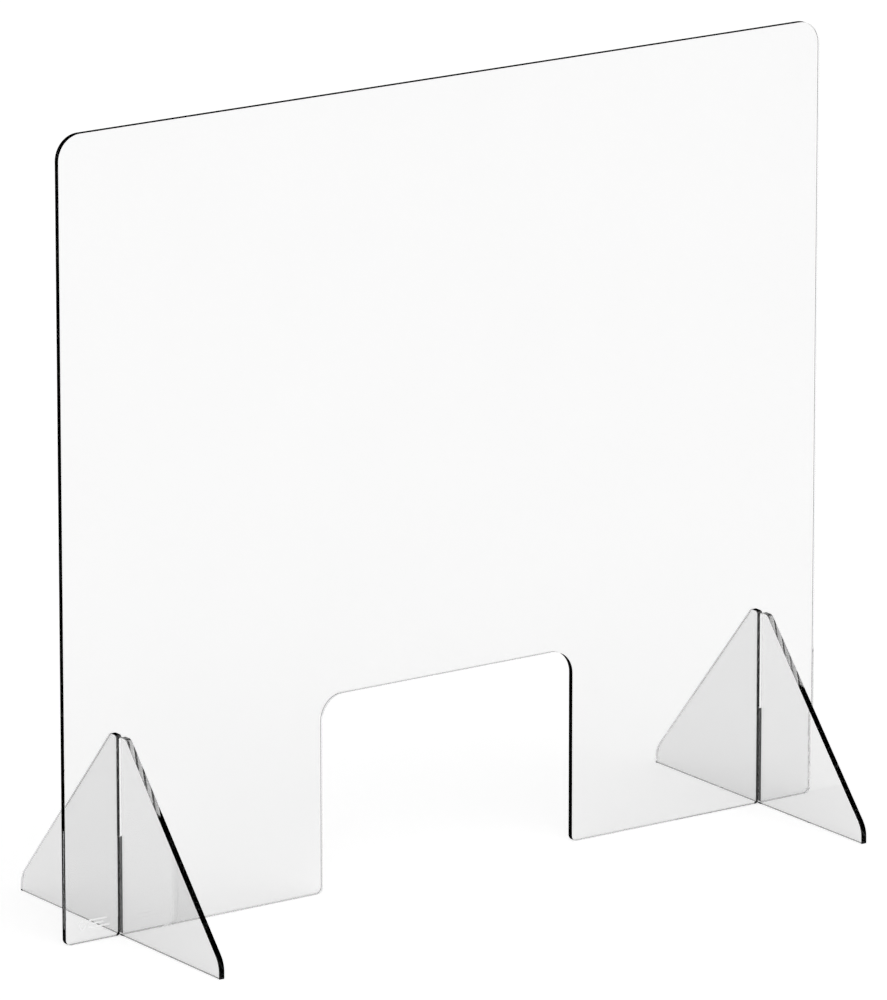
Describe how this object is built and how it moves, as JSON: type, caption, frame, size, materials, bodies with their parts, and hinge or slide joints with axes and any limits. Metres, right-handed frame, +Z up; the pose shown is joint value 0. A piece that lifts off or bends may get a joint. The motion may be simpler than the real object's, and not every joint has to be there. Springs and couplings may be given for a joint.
{
  "type": "sneeze guard",
  "caption": "Free-standing clear acrylic counter screen with a pass-through window at the bottom, held upright by cross-lapped triangular feet.",
  "frame": {"origin": "on the counter, under the middle of the panel: the centre of the bounding box's base", "axes": "+X along the panel to the right, +Y through the panel's thickness and along the feet, +Z up"},
  "size_m": [0.9144, 0.3556, 0.8128],
  "materials": {
    "clear_acrylic": "polished",
    "white_print": "matte"
  },
  "bodies": {
    "left_foot": {"left_foot": "clear_acrylic"},
    "panel": {"shield_panel": "clear_acrylic"},
    "right_foot": {"right_foot": "clear_acrylic"}
  },
  "joints": [
    {"name": "panel_lift", "type": "slide", "parent": "left_foot", "child": "panel", "axis": [0, 0, 1], "range_m": [0, 0.1016]},
    {"name": "right_foot_slide", "type": "slide", "parent": "panel", "child": "right_foot", "axis": [0, 0, -1], "range_m": [0, 0.1016]}
  ],
  "couplings": [
    {"joint": "right_foot_slide", "follows": "panel_lift", "ratio": 1}
  ]
}
